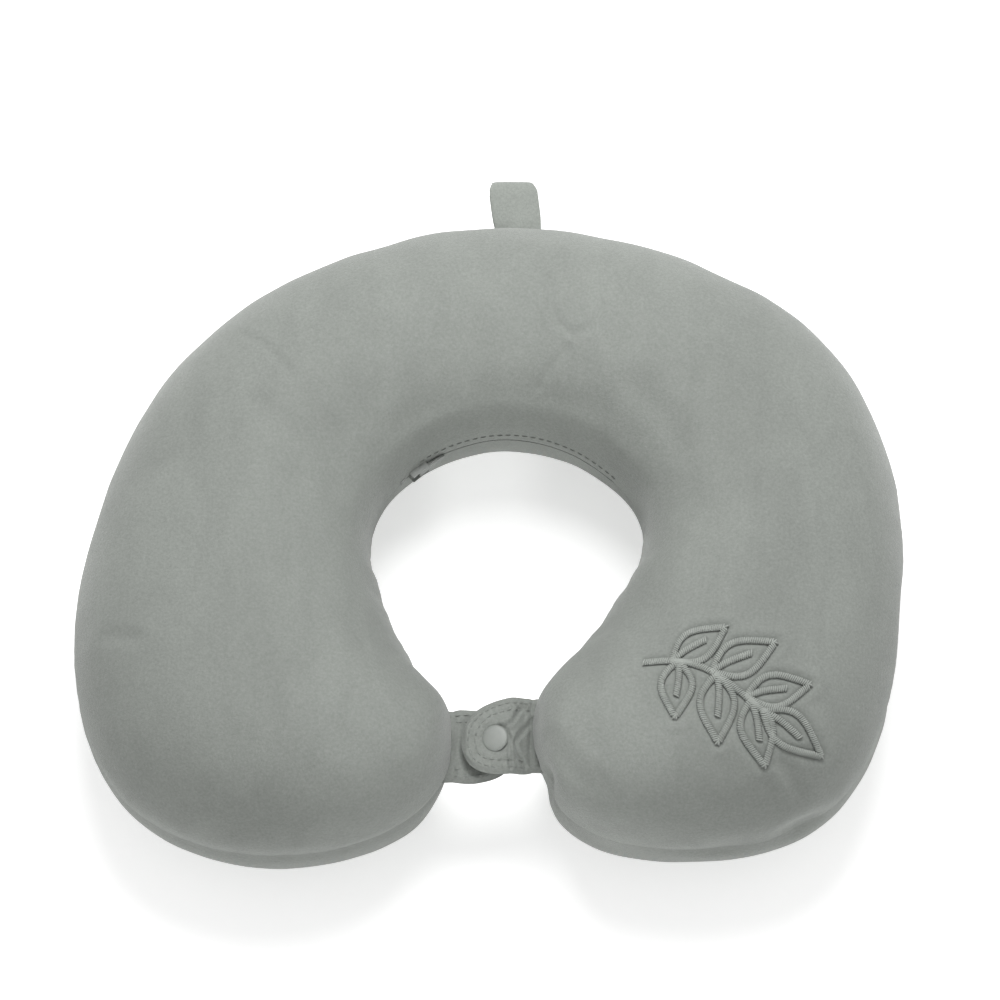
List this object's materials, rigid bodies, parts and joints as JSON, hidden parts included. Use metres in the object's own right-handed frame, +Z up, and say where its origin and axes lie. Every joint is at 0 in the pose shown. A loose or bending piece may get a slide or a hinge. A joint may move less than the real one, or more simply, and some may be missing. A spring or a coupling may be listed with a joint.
{
  "type": "u shaped neck pillow",
  "caption": "U shaped travel neck pillow with a zipped velour cover, snap-closed tabs across the mouth, a hang loop at the nape and a stitched sprig on one lobe.",
  "frame": {"origin": "middle of the bounding box's underside: the pillow lies flat on z = 0", "axes": "+Z up, +Y towards the nape, +X across the lobes, so the mouth faces -Y"},
  "size_m": [0.3341, 0.2873, 0.0993],
  "materials": {
    "velour": "brushed short pile velour",
    "velour_strip": "brushed short pile velour",
    "embroidery_thread": "satin stitched thread, slight sheen",
    "jersey": "plain knitted jersey",
    "foam": "open cell foam",
    "backing": "non-woven",
    "label": "woven satin, blank",
    "zip_tape": "woven tape",
    "zip_coil": "nylon coil",
    "zip_metal": "tumbled zinc",
    "snap_plastic": "satin moulded plastic"
  },
  "bodies": {
    "pillow": {"foam_core": "foam", "liner_top": "jersey", "liner_bottom": "jersey", "cover_top": "velour", "cover_bottom": "velour", "zip_tape_upper": "zip_tape", "zip_tape_lower": "zip_tape", "zip_coil_upper": "zip_coil", "zip_coil_lower": "zip_coil", "zip_top_stop_upper": "zip_metal", "zip_top_stop_lower": "zip_metal", "zip_bottom_stop": "zip_metal", "care_label": "label", "embroidery": "embroidery_thread", "embroidery_backing": "backing"},
    "slider": {"zip_slider": "zip_metal"},
    "pull": {"zip_pull": "zip_metal"},
    "upper_tab": {"upper_tab_face": "velour", "upper_tab_back": "velour", "snap_cap": "snap_plastic", "snap_socket": "snap_plastic"},
    "lower_tab": {"lower_tab_face": "velour", "lower_tab_back": "velour", "snap_stud": "snap_plastic", "snap_back_cap": "snap_plastic"},
    "loop": {"hang_loop": "velour_strip"}
  },
  "joints": [
    {"name": "zip_travel", "type": "hinge", "parent": "pillow", "child": "slider", "pos_m": [0.0084, -0.025, 0.046], "axis": [0, 0, 1], "range_deg": [-70, 0]},
    {"name": "pull_swing", "type": "hinge", "parent": "slider", "child": "pull", "pos_m": [-0.02671, 0.01914, 0.046], "axis": [0, 0, 1], "range_deg": [-150, 0]},
    {"name": "upper_tab_lift", "type": "hinge", "parent": "pillow", "child": "upper_tab", "pos_m": [0.0178, -0.092, 0.046], "axis": [0, 1, 0], "range_deg": [0, 48], "stiffness_Nm_per_rad": 0.01},
    {"name": "lower_tab_drop", "type": "hinge", "parent": "pillow", "child": "lower_tab", "pos_m": [-0.0138, -0.0965, 0.046], "axis": [0, 1, 0], "range_deg": [0, 60], "stiffness_Nm_per_rad": 0.01},
    {"name": "loop_flap", "type": "hinge", "parent": "pillow", "child": "loop", "pos_m": [0.0114, 0.12214, 0.046], "axis": [1, 0, 0], "range_deg": [-45, 45], "stiffness_Nm_per_rad": 0.01}
  ]
}
